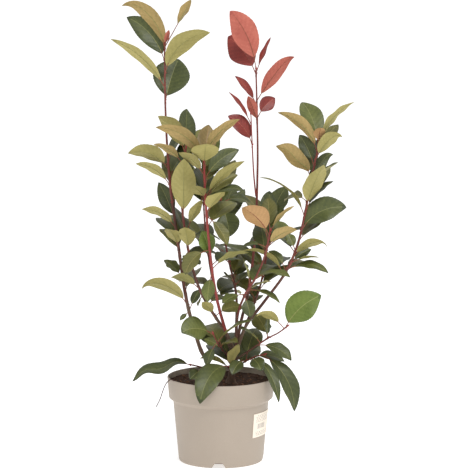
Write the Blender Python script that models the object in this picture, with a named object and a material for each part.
"""A red tip photinia, 0.81 m tall, growing in a 19 cm nursery pot.

Metres, +Z up, with the origin at the centre of the pot's underside. The side of the plant that the
photograph shows faces -Y. Sizes of the plant are written in millimetres, inside mm().

Every stem is one smooth curve. Its bare lower stretch is a limb, and each leafy stretch is a mass: the rest
of the stem with its leaves fused on. A leaf grows from a height on its stem and reaches so far across, back
and up. The leaves that show in the photograph are given stem by stem, and the others follow the spiral in
which leaves stand round a shoot.
"""

import math

import bpy
import numpy as np
from mathutils.bvhtree import BVHTree

MM = 0.001
GAP = 0.3 * MM  # left between two solids that touch

# The pot, in millimetres.
POT_HEIGHT = 150.0
RIM_RADIUS = 95.0
COLLAR_FOOT_RADIUS = 92.3
COLLAR_FOOT_HEIGHT = 114.0
WALL_TOP_RADIUS = 84.6
WALL_TOP_HEIGHT = 106.5
BASE_RADIUS = 75.0
WALL = 1.8
FLOOR_HEIGHT = 5.0  # the floor's underside, above the foot ring
FLOOR_THICKNESS = 2.0
PAD_RADIUS = 26.0  # the round pad in the middle of the underside, level with the foot ring
POT_SEGMENTS = 48
NOTCH_COUNT = 4
NOTCH_TURN = math.radians(-92.7)  # the first notch, just left of the front
NOTCH_HEIGHT = 9.0
NOTCH_FOOT_WIDTH = 24.0
NOTCH_TOP_WIDTH = 13.0
DRAIN_COUNT = 8
DRAIN_RADIUS = 5.0
DRAIN_RING_RADIUS = 50.0

# The compost and the label, in millimetres.
SOIL_HEIGHT = 138.0
SOIL_EDGE_RISE = 3.0
LABEL_FROM = math.radians(-46.0)
LABEL_TO = math.radians(-6.0)
LABEL_FOOT = 50.0
LABEL_TOP = 93.0
LABEL_THICKNESS = 0.6

# Stems and leaves.
LIMB_SIDES = 6
SHOOT_SIDES = 5
FLATS = 0.95  # the flat sides of a stem lie a little nearer its axis than its edges
RING_SPACING = 22.0  # along a stem, in millimetres
PETIOLE = 15.0
ROOT_DEPTH = 0.8  # how far a leaf's foot lies beyond the stem's axis
PETIOLE_RADIUS = 1.0
LEAF_THICKNESS = 1.3
LEAF_FOLD = math.radians(17)
CLEARANCE = 0.8  # kept round each leaf, in millimetres
GOLDEN_ANGLE = math.radians(137.5)
TRIES = 10
UP = np.array([0.0, 0.0, 1.0])
FRONT = np.array([0.0, -1.0, 0.0])

# Gaps in the crown, through which the light shows from the front: across from, to, and height from, to.
SKY = [
    (-78, 14, 590, 830), (78, 135, 480, 640), (122, 142, 405, 452), (96, 122, 352, 385),
    (20, 52, 382, 424), (-15, 3, 392, 430), (-50, -27, 404, 448), (-63, -50, 430, 468),
    (-72, -62, 328, 388), (-12, 14, 320, 348), (-60, -36, 258, 296), (-120, -42, 165, 262),
    (82, 122, 282, 308), (84, 140, 180, 224), (40, 54, 510, 590), (-140, -101, 425, 468),
    (92, 170, 250, 300), (150, 200, 300, 340), (-200, -100, 540, 600), (-200, -110, 300, 400),
    (-140, -101, 600, 660), (-92, -60, 600, 632), (100, 125, 530, 640),
]


def mm(*values):
    return np.array(values, float)


def unit(vector):
    return vector / np.linalg.norm(vector)


def smooth_path(points, spacing=3.0):
    """Points about `spacing` apart on the curve through `points`: a Catmull-Rom spline, span by span."""
    points = np.array(points, float)
    padded = np.vstack([2 * points[0] - points[1], points, 2 * points[-1] - points[-2]])
    pieces = []
    for before, start, end, after in zip(padded, padded[1:], padded[2:], padded[3:]):
        steps = max(2, round(np.linalg.norm(end - start) / spacing))
        t = np.linspace(0, 1, steps, endpoint=False)[:, None]
        pieces.append(
            start
            + t * (end - before) / 2
            + t**2 * (before - 2.5 * start + 2 * end - after / 2)
            + t**3 * (1.5 * (start - end) + (after - before) / 2)
        )
    return np.vstack([*pieces, points[-1:]])


class Stem:
    """A tapering stem along a smooth curve, measured by the length along it.

    Its radii are given at even steps from foot to tip, or at the lengths in `at`.
    """

    def __init__(self, points, *radii, at=None):
        self.path = smooth_path(points)
        steps = np.linalg.norm(np.diff(self.path, axis=0), axis=1)
        self.lengths = np.concatenate([[0], np.cumsum(steps)])
        self.length = self.lengths[-1]
        self.radii = radii
        self.at = np.linspace(0, self.length, len(radii)) if at is None else at

    def point(self, length):
        return np.stack([np.interp(length, self.lengths, axis) for axis in self.path.T], axis=-1)

    def radius(self, length):
        return np.interp(length, self.at, self.radii)

    def direction(self, length):
        step = 2.0
        return unit(self.point(min(length + step, self.length)) - self.point(max(length - step, 0)))

    def length_at(self, height):
        return float(np.interp(height, self.path[:, 2], self.lengths))

    def clear_of(self, other, gap):
        """How far along this stem its flat end can be cut so that it stands `gap` off the other stem."""
        for length in np.arange(0, self.length, 0.25):
            offsets = other.path - self.point(length)
            nearest = int(np.argmin(np.linalg.norm(offsets, axis=1)))
            other_length = other.lengths[nearest]
            slant = abs(float(self.direction(length) @ other.direction(other_length)))
            reach = FLATS * (other.radius(other_length) + self.radius(length) * slant) + gap
            if np.linalg.norm(offsets[nearest]) > reach:
                return float(length)
        return 0.0


def ring_frames(stem, lengths):
    """Two unit vectors across the stem at each length along it, carried along without turning."""
    tangents = np.array([stem.direction(length) for length in lengths])
    side = unit(np.cross(tangents[0], FRONT if abs(tangents[0] @ FRONT) < 0.9 else UP))
    sides = []
    for tangent in tangents:
        side = unit(side - (side @ tangent) * tangent)
        sides.append(side)
    sides = np.array(sides)
    return sides, np.cross(tangents, sides)


def lofted(rings, start_point=None, end_point=None, split=False):
    """(vertices, faces) of a closed skin over rings of equal size, each end flat or drawn to a point.

    With split, each four-sided face is cut along the diagonal that keeps a thin blade's two faces apart.
    """
    count = len(rings[0])
    vertices = [tuple(point) for ring in rings for point in ring]
    faces = []
    for row in range(len(rings) - 1):
        for i in range(count):
            j = (i + 1) % count
            low, high = row * count, (row + 1) * count
            if not split:
                faces.append((low + i, low + j, high + j, high + i))
            elif i % 2 == 0:
                faces += [(low + i, low + j, high + j), (low + i, high + j, high + i)]
            else:
                faces += [(low + i, low + j, high + i), (low + j, high + j, high + i)]
    last = (len(rings) - 1) * count
    if start_point is None:
        faces.append(tuple(reversed(range(count))))
    else:
        vertices.append(tuple(start_point))
        faces += [((i + 1) % count, i, len(vertices) - 1) for i in range(count)]
    if end_point is None:
        faces.append(tuple(last + i for i in range(count)))
    else:
        vertices.append(tuple(end_point))
        faces += [(last + i, last + (i + 1) % count, len(vertices) - 1) for i in range(count)]
    return vertices, faces


def tube(stem, start, end, sides, extra=0.0, level_foot=False):
    """A closed tapering tube along part of a stem. `extra` widens it, and a level foot is cut flat."""
    count = max(2, round((end - start) / RING_SPACING) + 1)
    lengths = np.linspace(start, end, count)
    path = stem.point(lengths)
    side, other = ring_frames(stem, lengths)
    turns = np.arange(sides) * 2 * math.pi / sides
    radii = stem.radius(lengths)[:, None, None] + extra
    rings = path[:, None] + radii * (
        side[:, None] * np.cos(turns)[None, :, None] + other[:, None] * np.sin(turns)[None, :, None]
    )
    if level_foot:
        rings[0, :, 2] = path[0, 2]
    return lofted(rings)


class Leaf:
    """One leaf: where it grows, how far it reaches, and how its blade is bent and turned.

    bend is the angle by which the midrib arches, curl rolls the tip under, turn rolls the blade round its
    midrib until its upper face looks to the front, twist winds it from foot to tip, and wave makes it
    undulate.
    """

    def __init__(
        self, height, across, back, up, width, bend=20, turn=0, curl=0, twist=0, wave=0, petiole=PETIOLE
    ):
        self.height = height
        self.reach = mm(across, back, up)
        self.width = width
        self.bend, self.turn, self.curl, self.twist, self.wave = (
            math.radians(angle) for angle in (bend, turn, curl, twist, wave)
        )
        self.petiole = min(petiole / np.linalg.norm(self.reach), 0.5)
        self.base = None

    def axes(self):
        """Along the leaf, the way its back arches, and across it, on the side that looks to the front."""
        along = unit(self.reach)
        outward = mm(self.reach[0], self.reach[1], 0)
        outward = unit(outward) if np.linalg.norm(outward) > 1 else FRONT
        lean = UP - 0.15 * outward
        normal = unit(lean - (lean @ along) * along)
        across = np.cross(along, normal)
        return along, normal, across if across @ FRONT > 0 else -across

    def midrib(self, shares):
        """Point, tangent, normal and sideways vector at each share of the midrib's length."""
        along, normal, across = self.axes()
        s = np.linspace(0, 1, 121)
        tip = np.clip((s - 0.72) / 0.28, 0, 1)
        angle = self.bend * (1 - 2 * s) - self.curl * tip**1.5 + self.wave * np.sin(4 * math.pi * s)
        steps = np.stack([np.cos(angle), np.sin(angle)], axis=1)
        flat = np.vstack([[0, 0], np.cumsum((steps[1:] + steps[:-1]) / 2, axis=0)]) / 120
        chord = flat[-1]
        size = np.linalg.norm(self.reach) / np.linalg.norm(chord)
        chord = unit(chord)
        x = (flat @ chord) * size
        y = (flat @ np.array([-chord[1], chord[0]])) * size
        line = self.base + x[:, None] * along + y[:, None] * normal
        line[0] -= ROOT_DEPTH * unit(line[1] - line[0])
        points = np.stack([np.interp(shares, s, axis) for axis in line.T], axis=1)
        turned = np.interp(shares, s, angle) - math.atan2(chord[1], chord[0])
        tangents = np.cos(turned)[:, None] * along + np.sin(turned)[:, None] * normal
        faces_up = -np.sin(turned)[:, None] * along + np.cos(turned)[:, None] * normal
        wound = (self.turn + self.twist * np.asarray(shares))[:, None]
        normals = np.cos(wound) * faces_up + np.sin(wound) * across
        return points, tangents, normals, np.cross(tangents, normals)

    def half_width(self, blade_share):
        """Half the blade's width: a rounded ellipse that narrows more towards its foot."""
        return self.width / 2 * np.sin(math.pi * np.clip(blade_share, 0, 1) ** 0.93) ** 0.8

    def solid(self, extra=0.0, blade_only=False):
        """(vertices, faces): four-sided sections along the midrib, and a pointed tip."""
        blade = np.array([0.0, 0.24, 0.52, 0.8] if not self.wave else [0.0, 0.15, 0.3, 0.45, 0.6, 0.75, 0.88])
        shares = self.petiole + blade * (1 - self.petiole)
        half = np.maximum(self.half_width(blade), PETIOLE_RADIUS) + extra
        thick = np.full(len(blade), LEAF_THICKNESS / 2)
        fold = np.where(blade > 0.1, LEAF_FOLD, 0.0)
        if not blade_only:
            shares = np.concatenate([[0.0], shares])
            half = np.concatenate([[PETIOLE_RADIUS + extra], half])
            thick = np.concatenate([[PETIOLE_RADIUS], thick])
            fold = np.concatenate([[0.0], fold])
        points, _, normals, across = self.midrib(np.append(shares, 1.0))
        wide = (half * np.cos(fold))[:, None] * across[:-1]
        raised = (half * np.sin(fold))[:, None] * normals[:-1]
        thick = (thick + extra)[:, None] * normals[:-1]
        centre = points[:-1]
        rings = np.stack([centre - wide + raised, centre - thick, centre + wide + raised, centre + thick], axis=1)
        return lofted(rings, end_point=points[-1], split=True)


def tree_of(solid):
    return BVHTree.FromPolygons(*solid)


def turned_profile(name, profile, segments):
    """A closed solid turned round the Z axis from a closed outline of (radius, height) points."""
    turns = np.arange(segments) * 2 * math.pi / segments
    vertices, rows = [], []
    for radius, height in profile:
        if radius == 0:
            rows.append([len(vertices)] * segments)
            vertices.append((0, 0, height))
        else:
            rows.append(list(range(len(vertices), len(vertices) + segments)))
            vertices += [(radius * math.cos(t), radius * math.sin(t), height) for t in turns]
    faces = []
    for low, high in zip(rows, rows[1:] + rows[:1]):
        if low[0] == low[1] and high[0] == high[1]:
            continue
        for i in range(segments):
            j = (i + 1) % segments
            corners = (low[i], low[j], high[j], high[i])
            faces.append(tuple(dict.fromkeys(corners)))
    return mesh_object(name, (vertices, faces))


def material(name, colour, roughness, metallic=0.0):
    made = bpy.data.materials.new(name)
    made.use_nodes = True
    shader = made.node_tree.nodes["Principled BSDF"]
    shader.inputs["Base Color"].default_value = (*colour, 1)
    shader.inputs["Roughness"].default_value = roughness
    shader.inputs["Metallic"].default_value = metallic
    return made


def mesh_object(name, solid, finish=None, collection=None):
    """An object holding a solid given in millimetres."""
    vertices, faces = solid
    mesh = bpy.data.meshes.new(name)
    mesh.from_pydata([tuple(MM * value for value in vertex) for vertex in vertices], [], faces)
    mesh.validate()
    made = bpy.data.objects.new(name, mesh)
    (collection or bpy.context.scene.collection).objects.link(made)
    if finish:
        mesh.materials.append(finish)
    return made


def box_solid(foot_width, top_width, length, height, drop):
    """A bar along X whose section is a trapezium, for cutting a notch."""
    section = [(-foot_width / 2, -drop), (foot_width / 2, -drop), (top_width / 2, height), (-top_width / 2, height)]
    return lofted([[(x, y, z) for y, z in section] for x in (length, 0.0)][::-1])


def applied(made):
    """Replaces the object's mesh by its evaluated one, and drops its modifiers."""
    graph = bpy.context.evaluated_depsgraph_get()
    mesh = bpy.data.meshes.new_from_object(made.evaluated_get(graph))
    made.modifiers.clear()
    made.data = mesh


def cut(made, cutters):
    """Cuts the cutters out of an object and removes them."""
    for cutter in cutters:
        cutter.hide_render = True
        cutter.display_type = "WIRE"
        boolean = made.modifiers.new(cutter.name, "BOOLEAN")
        boolean.operation = "DIFFERENCE"
        boolean.object = cutter
    applied(made)
    for cutter in cutters:
        bpy.data.objects.remove(cutter)


def make_pot(finish):
    """A thin-walled round pot: foot ring, raised floor with a middle pad, tapering wall and upright collar."""
    ring_inside = BASE_RADIUS - 2.6
    floor_top = FLOOR_HEIGHT + FLOOR_THICKNESS
    outline = [
        (0, 0),
        (PAD_RADIUS, 0),
        (PAD_RADIUS + 1, FLOOR_HEIGHT),
        (ring_inside, FLOOR_HEIGHT),
        (ring_inside, 0),
        (BASE_RADIUS - 0.8, 0),
        (BASE_RADIUS + 0.3, 3),
        (WALL_TOP_RADIUS, WALL_TOP_HEIGHT),
        (WALL_TOP_RADIUS + 0.8, WALL_TOP_HEIGHT + 1.2),
        (COLLAR_FOOT_RADIUS - 0.6, COLLAR_FOOT_HEIGHT - 1),
        (COLLAR_FOOT_RADIUS, COLLAR_FOOT_HEIGHT),
        (RIM_RADIUS, POT_HEIGHT - 1.2),
        (RIM_RADIUS - 0.6, POT_HEIGHT),
        (RIM_RADIUS - WALL - 0.4, POT_HEIGHT),
        (COLLAR_FOOT_RADIUS - WALL, COLLAR_FOOT_HEIGHT + 1),
        (WALL_TOP_RADIUS - WALL, WALL_TOP_HEIGHT + 1),
        (BASE_RADIUS - WALL, floor_top),
        (0, floor_top),
    ]
    pot = turned_profile("pot", outline, POT_SEGMENTS)
    pot.data.materials.append(finish)
    cutters = []
    for number in range(NOTCH_COUNT):
        notch = mesh_object("notch", box_solid(NOTCH_FOOT_WIDTH + 2, NOTCH_TOP_WIDTH, 30.0, NOTCH_HEIGHT, 1.0))
        turn = NOTCH_TURN + number * 2 * math.pi / NOTCH_COUNT
        foot = (BASE_RADIUS - 12.0) * MM
        notch.location = (foot * math.cos(turn), foot * math.sin(turn), 0)
        notch.rotation_euler = (0, 0, turn)
        cutters.append(notch)
    for number in range(DRAIN_COUNT):
        turn = NOTCH_TURN + (number + 0.5) * 2 * math.pi / DRAIN_COUNT
        outline = [(0, -1), (DRAIN_RADIUS, -1), (DRAIN_RADIUS, 12), (0, 12)]
        drain = turned_profile("drain", outline, 12)
        drain.location = (DRAIN_RING_RADIUS * MM * math.cos(turn), DRAIN_RING_RADIUS * MM * math.sin(turn), 0)
        cutters.append(drain)
    bpy.context.view_layer.update()
    cut(pot, cutters)


def make_compost(finish):
    """The root ball and compost, filling the pot to just under its rim, higher at the edge than in the middle."""
    off = WALL + GAP / MM + 0.05
    floor_top = FLOOR_HEIGHT + FLOOR_THICKNESS + GAP / MM
    edge_height = SOIL_HEIGHT + SOIL_EDGE_RISE
    slope = (RIM_RADIUS - COLLAR_FOOT_RADIUS - 0.4) / (POT_HEIGHT - COLLAR_FOOT_HEIGHT)
    edge_radius = COLLAR_FOOT_RADIUS - off + slope * (edge_height - COLLAR_FOOT_HEIGHT)
    outline = [
        (0, floor_top),
        (BASE_RADIUS - off - 0.4, floor_top),
        (WALL_TOP_RADIUS - off, WALL_TOP_HEIGHT + 1),
        (COLLAR_FOOT_RADIUS - off - 0.4, COLLAR_FOOT_HEIGHT + 1.6),
        (edge_radius, edge_height),
        (60, SOIL_HEIGHT),
        (0, SOIL_HEIGHT),
    ]
    compost = turned_profile("compost", outline, 40)
    compost.data.materials.append(finish)


def wall_radius(height):
    """The outside of the pot's tapering wall."""
    share = (height - 3) / (WALL_TOP_HEIGHT - 3)
    return BASE_RADIUS + 0.3 + share * (WALL_TOP_RADIUS - BASE_RADIUS - 0.3)


def make_label(finish):
    """A paper label wrapped round the wall, standing a hair off it."""
    rings = []
    for turn in np.linspace(LABEL_FROM, LABEL_TO, 9):
        way = np.array([math.cos(turn), math.sin(turn), 0])
        ring = []
        for height, out in (
            (LABEL_FOOT, LABEL_THICKNESS), (LABEL_FOOT, 0), (LABEL_TOP, 0), (LABEL_TOP, LABEL_THICKNESS)
        ):
            ring.append(way * (wall_radius(height) + 0.3 + out) + UP * height)
        rings.append(ring)
    mesh_object("label", lofted(rings), finish)


# Stems: name, points from foot to tip, foot and tip radius, and the stem that carries it.
STEMS = {
    "main": Stem(
        [mm(17, 0, 138.3), mm(19, 0, 152), mm(23, 0, 176), mm(28, 3, 206), mm(36, 14, 246), mm(50, 28, 305),
         mm(61, 38, 400), mm(65, 42, 520), mm(64, 42, 610), mm(62, 42, 690)],
        6.2, 5.2, 4.6, 2.8, 1.3, at=[0, 40, 68, 90, 560]),
    "left": Stem(
        [mm(-18, 8, 138.3), mm(-24, 5, 172), mm(-39, 1, 206), mm(-61, -6, 290), mm(-78, -12, 414),
         mm(-90, -14, 510), mm(-96, -12, 625), mm(-97, -10, 737)], 3.6, 1.3),
    "inner_left": Stem(
        [mm(25, -1, 193), mm(9, -9, 229), mm(-17, -14, 270), mm(-38, -18, 311), mm(-54, -22, 365),
         mm(-66, -28, 441), mm(-69, -34, 500), mm(-60, -38, 558)], 3.0, 1.4),
    "front": Stem(
        [mm(10, -9, 227), mm(-3, -24, 276), mm(-13, -38, 330), mm(-20, -52, 395), mm(-26, -58, 470),
         mm(-29, -58, 545)], 2.8, 1.7),
    "side": Stem([mm(62, 40, 466), mm(58, 30, 508), mm(55, 25, 565), mm(53, 24, 612)], 1.4, 0.9),
    "right": Stem(
        [mm(25, 0, 188), mm(44, -5, 240), mm(76, -8, 284), mm(112, -10, 334), mm(133, -11, 381),
         mm(145, -13, 430), mm(157, -16, 495), mm(171, -18, 564)], 3.0, 1.4),
    "inner_right": Stem(
        [mm(27, -1, 200), mm(30, -14, 262), mm(43, -28, 301), mm(60, -38, 330), mm(77, -48, 372),
         mm(86, -52, 416)], 2.3, 1.5),
    "low_right": Stem(
        [mm(22, -1, 176), mm(52, -12, 199), mm(82, -21, 221), mm(101, -26, 232), mm(116, -30, 244)], 1.9, 1.1),
    "back": Stem(
        [mm(25, 2, 190), mm(27, 18, 235), mm(27, 31, 292), mm(14, 47, 350), mm(3, 58, 408), mm(0, 62, 456)],
        2.6, 1.4),
    "back_left": Stem(
        [mm(22, 1, 178), mm(4, 34, 236), mm(-14, 56, 306), mm(-27, 72, 390), mm(-33, 80, 480)], 2.5, 1.2),
    "back_right": Stem(
        [mm(22, 1, 174), mm(44, 18, 238), mm(67, 34, 296), mm(80, 54, 352), mm(84, 66, 410)], 2.5, 1.2),
    "low_left": Stem([mm(21, 0, 168), mm(6, -14, 196), mm(-6, -22, 214), mm(-13, -26, 230)], 1.6, 1.0),
    "rim_left": Stem([mm(-22, 6, 160), mm(-38, -2, 167), mm(-52, -6, 171)], 1.5, 1.1),
    "rim_right": Stem([mm(20, 0, 160), mm(44, -8, 178), mm(62, -13, 187), mm(76, -17, 192)], 1.7, 1.0),
    "rim_front": Stem([mm(19, 0, 154), mm(18, -16, 164), mm(14, -30, 172)], 1.7, 1.1),
    "rim_back": Stem([mm(19, 0, 156), mm(16, 24, 172), mm(8, 46, 186), mm(0, 58, 194)], 1.7, 1.0),
}

CARRIERS = {
    "inner_left": "main", "front": "inner_left", "side": "main", "right": "main", "inner_right": "main",
    "low_right": "main", "back": "main", "back_left": "main", "back_right": "main", "low_left": "main",
    "rim_left": "left", "rim_right": "main", "rim_front": "main", "rim_back": "main",
}

# The stretches of each stem from its foot up: node name and the height at which it begins.
STRETCHES = {
    "left": [("left_stem", 0), ("left_foliage", 262), ("left_stem_upper", 600), ("left_top_foliage", 630)],
    "inner_left": [("inner_left_stem", 0), ("inner_left_foliage", 244)],
    "front": [("front_stem", 0), ("front_foliage", 338)],
    "main": [("trunk", 0), ("tall_stem", 206), ("red_top_foliage", 592)],
    "side": [("side_stem", 0), ("red_side_foliage", 550)],
    "right": [("right_stem", 0), ("right_foliage", 322)],
    "inner_right": [("inner_right_stem", 0), ("inner_right_foliage", 290)],
    "low_right": [("low_right_stem", 0), ("low_right_foliage", 204)],
    "back": [("back_stem", 0), ("back_foliage", 300)],
    "back_left": [("back_left_stem", 0), ("back_left_foliage", 270)],
    "back_right": [("back_right_stem", 0), ("back_right_foliage", 262)],
    "low_left": [("low_left_foliage", 0)],
    "rim_left": [("rim_left_foliage", 0)],
    "rim_right": [("rim_right_foliage", 0)],
    "rim_front": [("rim_front_foliage", 0)],
    "rim_back": [("rim_back_foliage", 0)],
}

# Leaves that show in the photograph: height on the stem, then reach across, back and up, then the width.
SEEN = {
    "left": [
        Leaf(275, -80, -20, 35, 36, 38, -40, curl=50), Leaf(197, -16, -10, -14, 9, 10, 40, petiole=6),
        Leaf(251, 19, 4, 39, 17, 10, 50), Leaf(379, -18, -50, 42, 28, 20),
        Leaf(413, -60, -15, 38, 24, 32, -40), Leaf(427, -30, 32, 66, 28, 10, 50),
        Leaf(489, -60, -15, 42, 24, 30, -40), Leaf(517, -70, -25, 33, 38, 40, -45),
        Leaf(637, 22, 48, 72, 64, 12, 20, petiole=12), Leaf(661, -93, -15, 86, 24, 22, -45),
        Leaf(684, 79, -30, 75, 38, 38, -45), Leaf(706, -67, 25, 77, 38, 28, 60),
        Leaf(722, -73, -20, 82, 30, 38, -45, curl=45), Leaf(732, 46, 8, 82, 24, 0, 5, twist=-70, petiole=46),
        Leaf(731, 8, -16, 32, 10, 5, petiole=10),
    ],
    "inner_left": [
        Leaf(256, -24, -20, 32, 20, 10, -40), Leaf(297, -18, 22, -22, 18, 20, 50, petiole=8),
        Leaf(306, -51, -12, 25, 26, 28, -40), Leaf(374, -6, -42, 50, 30, 15),
        Leaf(376, -10, 2, -20, 12, 20, 40, petiole=8), Leaf(397, 59, 14, -3, 22, 38, 15),
        Leaf(406, 29, -15, 63, 22, 8, -30, petiole=24), Leaf(432, 2, -48, 112, 42, 12, petiole=20),
        Leaf(530, -50, -24, 38, 20, 24, -35), Leaf(548, -46, -14, 68, 36, 24, -45),
        Leaf(552, 2, 40, 72, 40, 12, 45),
    ],
    "front": [
        Leaf(343, -8, -22, -50, 24, 20), Leaf(347, 64, -15, 32, 22, 25, -30), Leaf(362, -16, 6, 53, 30, 12, 50),
        Leaf(383, -42, -12, -42, 32, 35, 40), Leaf(443, 36, -12, -50, 24, 20, 40),
        Leaf(445, 30, -35, 44, 38, 15), Leaf(466, 66, -5, 22, 28, 40, 25),
        Leaf(471, 56, 15, 42, 26, 22, 45), Leaf(475, 68, -24, 66, 24, 18, -35),
        Leaf(473, -21, -24, 25, 26, 10, -20, petiole=8), Leaf(506, 60, 24, 50, 27, 25, 65),
        Leaf(512, -44, -26, 44, 24, 22, -30), Leaf(527, 4, -50, 46, 46, 20),
        Leaf(532, 8, 42, 66, 34, 12, 30), Leaf(538, -82, -32, 62, 30, 34, -45),
        Leaf(540, 62, -10, 72, 26, 28, -40),
    ],
    "main": [
        Leaf(598, -18, -22, 50, 18, 8, -40, petiole=8), Leaf(603, 32, 25, 35, 26, 22, 60),
        Leaf(626, -39, -5, 53, 20, 14, 45), Leaf(635, 66, -10, 78, 30, 6, -50, curl=35),
        Leaf(684, 26, 20, 62, 14, 5), Leaf(688, -46, -34, 106, 46, 22, -75, petiole=24),
        Leaf(680, -50, 36, 66, 50, 20, 70, petiole=18),
    ],
    "side": [Leaf(556, -43, -5, 54, 32, 28, 60), Leaf(594, -40, 0, 58, 15, 12, 25)],
    "right": [
        Leaf(332, -75, -20, 46, 24, 38, -20), Leaf(338, -30, 20, 34, 18, 30, 30),
        Leaf(341, 73, -10, -4, 25, 38, 25), Leaf(350, 39, 15, 26, 18, 20, 45),
        Leaf(354, 63, -28, 32, 28, 36, -30, curl=60, petiole=20), Leaf(375, -14, 12, 30, 18, 10, 40, petiole=10),
        Leaf(409, 80, 10, 42, 46, 38, 62), Leaf(436, -78, 10, 68, 32, 36, -35, twist=40),
        Leaf(446, 30, -45, 86, 42, 12, petiole=20), Leaf(458, 60, 34, 84, 22, 24, 50, curl=50),
        Leaf(462, -66, 18, -12, 24, 35, 30), Leaf(501, -62, -10, 61, 36, 20, -50, wave=14),
        Leaf(524, -25, 25, 54, 26, 15, 50), Leaf(533, 46, -20, 45, 28, 22, -45, curl=70),
        Leaf(549, -69, -10, 71, 26, 34, -45), Leaf(561, 3, -24, 34, 20, 30, petiole=10),
        Leaf(558, 62, -5, 80, 22, 26, -35),
    ],
    "inner_right": [
        Leaf(298, 10, -15, -36, 24, 15, 30, petiole=8), Leaf(301, -40, -25, -12, 24, 20, 20),
        Leaf(309, 56, -15, -21, 22, 28, 10), Leaf(316, -12, -15, 50, 26, 10, 40),
        Leaf(328, 62, -24, 8, 30, 38, 10),
        Leaf(383, 53, -15, 37, 28, 32, -40), Leaf(386, -45, 15, -4, 20, 38, 20),
        Leaf(400, 35, 25, 22, 30, 20, 50), Leaf(408, -47, -25, 52, 46, 20, -40),
        Leaf(410, 44, -5, 51, 18, 22, -25), Leaf(413, -3, 35, 58, 30, 15, 20),
    ],
    "low_right": [
        Leaf(207, 60, -20, -24, 28, 32, 30), Leaf(221, 0, 5, 36, 17, 10, 50, petiole=8),
        Leaf(240, -48, -15, 24, 26, 24, -35, curl=60), Leaf(242, 63, 10, 56, 52, 22, 64, petiole=10),
        Leaf(212, -36, -34, 32, 28, 20, 20, petiole=10),
    ],
    "back": [
        Leaf(312, -16, -25, 18, 24, 15, 30), Leaf(444, 14, -25, -50, 42, 30, 30),
        Leaf(450, 52, 8, 0, 28, 38, 25),
    ],
    "low_left": [
        Leaf(196, -36, 14, 20, 18, 20, 45), Leaf(214, -18, -22, -38, 24, 25),
        Leaf(227, -56, -32, 10, 46, 30, 50, curl=20), Leaf(206, 30, -38, 14, 24, 25, 20, petiole=8),
    ],
    "rim_left": [
        Leaf(163, -26, -30, -14, 22, 15, 40), Leaf(170.5, -106, -18, -26, 32, 18, 25, wave=22, petiole=9),
    ],
    "rim_right": [
        Leaf(191, 56, -27, -96, 36, 35, 30), Leaf(178, -24, -44, -16, 24, 35, 20),
        Leaf(181, 22, -44, -12, 26, 38, 25), Leaf(183, 60, 14, -8, 26, 30, 30),
        Leaf(185, 44, -62, -68, 20, 38, 10),
    ],
    "rim_front": [
        Leaf(171, -50, -84, -48, 42, 48, 25), Leaf(169, -52, -12, 16, 28, 22, -25, petiole=8),
        Leaf(167, 34, -36, 12, 26, 24, 20, petiole=8), Leaf(170, 16, -22, 46, 24, 12, petiole=8),
    ],
}

# Leaves added by the spiral rule: how many, and how far across the front view they may reach.
SPIRAL = {
    "left_foliage": (15, 34), "inner_left_foliage": (15, 50),
    "front_foliage": (9, 50), "right_foliage": (13, 50), "inner_right_foliage": (9, 46),
    "low_right_foliage": (6, 70), "back_foliage": (20, 80), "back_left_foliage": (22, 84),
    "back_right_foliage": (20, 84), "low_left_foliage": (5, 60), "rim_left_foliage": (2, 60),
    "rim_right_foliage": (3, 70), "rim_front_foliage": (1, 60), "rim_back_foliage": (10, 84),
}
BACKWARD = (math.radians(12), math.radians(168))  # the half turn behind a stem, seen from above


class Crown:
    """The leaves placed so far, and the solids that a new leaf has to keep clear of."""

    def __init__(self):
        self.leaves = {}
        self.whole = []
        self.blades = []
        self.owners = []
        self.stems = {
            name: tree_of(tube(stem, 0, stem.length, LIMB_SIDES, 0.6)) for name, stem in STEMS.items()
        }
        around = RIM_RADIUS + 2
        guard = [(0, 0), (around, 0), (around, POT_HEIGHT + 1.5), (0, POT_HEIGHT - 9)]
        self.fixed = tree_of(solid_of_turned(guard))

    def is_free(self, leaf, stem_name):
        """True where the leaf touches no other stem or leaf, and its blade doesn't touch its own stem."""
        whole = tree_of(leaf.solid(CLEARANCE))
        blade = tree_of(leaf.solid(CLEARANCE, blade_only=True))
        if whole.overlap(self.fixed):
            return False
        for name, stem in self.stems.items():
            if (blade if name == stem_name else whole).overlap(stem):
                return False
        for other, other_blade, owner in zip(self.whole, self.blades, self.owners):
            if owner == stem_name:
                if blade.overlap(other) or whole.overlap(other_blade):
                    return False
            elif whole.overlap(other):
                return False
        return True

    def add(self, leaf, stem_name, mass):
        self.leaves.setdefault(mass, []).append(leaf)
        self.whole.append(tree_of(leaf.solid(CLEARANCE)))
        self.blades.append(tree_of(leaf.solid(CLEARANCE, blade_only=True)))
        self.owners.append(stem_name)


def solid_of_turned(profile, segments=24):
    """(vertices, faces) of a plain turned solid, in millimetres."""
    made = turned_profile("guide", profile, segments)
    solid = (
        [tuple(value / MM for value in vertex.co) for vertex in made.data.vertices],
        [tuple(face.vertices) for face in made.data.polygons],
    )
    bpy.data.objects.remove(made)
    return solid


def shades_sky(leaf):
    """True where the leaf would stand in one of the crown's gaps, seen from the front."""
    shares = np.linspace(leaf.petiole, 1, 7)
    points, _, normals, across = leaf.midrib(shares)
    half = leaf.half_width(np.linspace(0, 1, 7))[:, None]
    outline = np.vstack([points, points - half * across, points + half * across])
    return any(
        ((outline[:, 0] > left) & (outline[:, 0] < right) & (outline[:, 2] > low) & (outline[:, 2] < high)).any()
        for left, right, low, high in SKY
    )


def nudges(rng):
    """Small turns, in azimuth and rise, tried one after another until a leaf finds room."""
    yield 0.0, 0.0
    for number in range(1, TRIES):
        yield math.radians(9 * number) * (-1) ** number, math.radians(rng.uniform(-10, 10))


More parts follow.
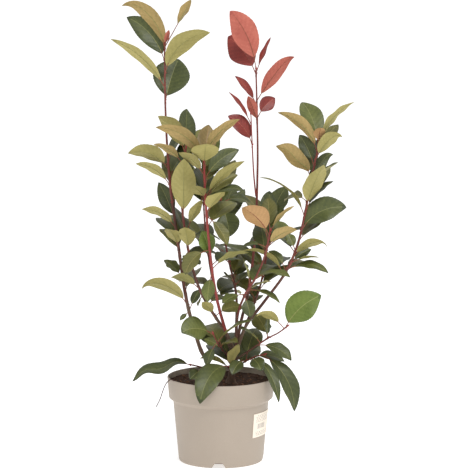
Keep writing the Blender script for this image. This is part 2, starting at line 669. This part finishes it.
def turned_reach(reach, azimuth, rise):
    """The reach turned round the vertical by azimuth and lifted by rise, at the same length."""
    length = np.linalg.norm(reach)
    now = math.atan2(reach[1], reach[0]) + azimuth
    lift = math.asin(reach[2] / length) + rise
    lift = min(max(lift, math.radians(-75)), math.radians(80))
    return length * mm(math.cos(lift) * math.cos(now), math.cos(lift) * math.sin(now), math.sin(lift))


def mass_at(stem_name, height):
    """The leafy stretch that a leaf of this stem belongs to."""
    inside = [name for name, start in STRETCHES[stem_name] if "foliage" in name and start <= height + 1e-6]
    return inside[-1] if inside else next(name for name, _ in STRETCHES[stem_name] if "foliage" in name)


def place_seen(crown, rng):
    """The leaves that the photograph shows. One that touches another is turned a little, or left out."""
    for stem_name, leaves in SEEN.items():
        stem = STEMS[stem_name]
        first_mass = min(start for name, start in STRETCHES[stem_name] if "foliage" in name)
        for leaf in leaves:
            reach = leaf.reach
            height = max(leaf.height, first_mass + 4)
            leaf.base = stem.point(stem.length_at(height))
            for azimuth, rise in nudges(rng):
                leaf.reach = turned_reach(reach, azimuth * 0.5, rise * 0.5)
                if crown.is_free(leaf, stem_name):
                    crown.add(leaf, stem_name, mass_at(stem_name, height))
                    break


def place_spiral(crown, rng):
    """The other leaves, by the golden angle, in the half turn behind each stem."""
    for stem_name, stretches in STRETCHES.items():
        stem = STEMS[stem_name]
        ends = [start for _, start in stretches[1:]] + [stem.path[-1, 2]]
        for (mass, start), end in zip(stretches, ends):
            if mass not in SPIRAL:
                continue
            count, spread = SPIRAL[mass]
            foot = max(start, stem.path[0, 2])
            for number in range(count):
                share = (number + 0.7) / count
                place_one(crown, rng, stem_name, mass, foot + share * (end - foot), share, number, spread)


def place_one(crown, rng, stem_name, mass, height, share, number, spread):
    """One leaf of the spiral: longest in the middle of its shoot, and steeper towards its tip."""
    turn = rng.uniform(0, 0.5) + number * GOLDEN_ANGLE
    azimuth = BACKWARD[0] + (turn % (2 * math.pi)) / (2 * math.pi) * (BACKWARD[1] - BACKWARD[0])
    rise = math.radians(8 + 44 * share + rng.normal(0, 7))
    length = rng.uniform(84, 112) * (1 - 0.35 * (share - 0.45) ** 2)
    width = length * rng.uniform(0.36, 0.44)
    bend, turn = rng.uniform(12, 34), rng.normal(0, 14)
    stem = STEMS[stem_name]
    base = stem.point(stem.length_at(height))
    for more_azimuth, more_rise in nudges(rng):
        way, lift = azimuth + more_azimuth, rise + more_rise
        reach = length * mm(math.cos(lift) * math.cos(way), math.cos(lift) * math.sin(way), math.sin(lift))
        reach[0] = np.clip(reach[0], -spread, spread)
        leaf = Leaf(height, *reach, width, bend, turn)
        leaf.base = base
        if not shades_sky(leaf) and crown.is_free(leaf, stem_name):
            crown.add(leaf, stem_name, mass)
            return


def make_mass(name, stem_solid, leaves, finish):
    """One node: the stretch of stem with its leaves joined to it by a Boolean union."""
    made = mesh_object(name, stem_solid, finish)
    if not leaves:
        return
    joined = bpy.data.collections.new(name)
    for leaf in leaves:
        mesh_object("leaf", leaf.solid(), finish, joined)
    boolean = made.modifiers.new("join", "BOOLEAN")
    boolean.operation = "UNION"
    boolean.operand_type = "COLLECTION"
    boolean.collection = joined
    bpy.context.scene.collection.children.link(joined)
    bpy.context.view_layer.update()
    applied(made)
    for helper in list(joined.objects):
        bpy.data.objects.remove(helper)
    bpy.data.collections.remove(joined)


def make_stem(stem_name, crown, bark, foliage):
    """Every stretch of one stem, from its foot to its tip, with a hair's gap between them."""
    stem = STEMS[stem_name]
    start = stem.clear_of(STEMS[CARRIERS[stem_name]], GAP / MM) if stem_name in CARRIERS else 0.0
    stretches = STRETCHES[stem_name]
    for number, (name, _) in enumerate(stretches):
        end = stem.length
        if number + 1 < len(stretches):
            end = stem.length_at(stretches[number + 1][1])
        if "foliage" in name:
            make_mass(name, tube(stem, start, end, SHOOT_SIDES), crown.leaves.get(name, []), foliage[name])
        elif name == "trunk":
            make_trunk(stem, end, bark)
        else:
            level = stem_name == "left" and number == 0
            mesh_object(name, tube(stem, start, end, LIMB_SIDES, level_foot=level), bark)
        start = end + GAP / MM


def make_trunk(stem, end, finish):
    """The short trunk: a flared foot, cut flat on the compost, up to the fork."""
    lengths = np.array([0, 4, 9, 16, 28, 42, 55, end])
    path = stem.point(lengths)
    side, other = ring_frames(stem, lengths)
    turns = np.arange(10) * 2 * math.pi / 10
    flare = 1 + 0.75 * np.exp(-lengths / 6.0)[:, None]
    ridges = 1 + 0.12 * np.exp(-lengths / 10.0)[:, None] * np.cos(3 * turns)[None, :]
    radii = stem.radius(lengths)[:, None] * flare * ridges
    rings = path[:, None] + radii[:, :, None] * (
        side[:, None] * np.cos(turns)[None, :, None] + other[:, None] * np.sin(turns)[None, :, None]
    )
    rings[0, :, 2] = path[0, 2]
    mesh_object("trunk", lofted(rings), finish)


def clear_scene():
    for old in list(bpy.data.objects):
        bpy.data.objects.remove(old)


def main():
    clear_scene()
    make_pot(material("pot_plastic", (0.48, 0.42, 0.35), 0.55))
    make_compost(material("compost", (0.035, 0.02, 0.015), 0.95))
    make_label(material("label_paper", (0.88, 0.80, 0.70), 0.6))
    bark = material("bark", (0.16, 0.06, 0.045), 0.6)
    green = material("green_leaf", (0.16, 0.20, 0.06), 0.5)
    red = material("red_leaf", (0.45, 0.10, 0.07), 0.45)
    masses = [name for stretches in STRETCHES.values() for name, _ in stretches if "foliage" in name]
    foliage = {name: red if name.startswith("red") else green for name in masses}
    crown = Crown()
    rng = np.random.default_rng(7)
    place_seen(crown, rng)
    place_spiral(crown, rng)
    for stem_name in STRETCHES:
        make_stem(stem_name, crown, bark, foliage)
    for name, leaves in crown.leaves.items():
        print(name, len(leaves), "leaves")


main()
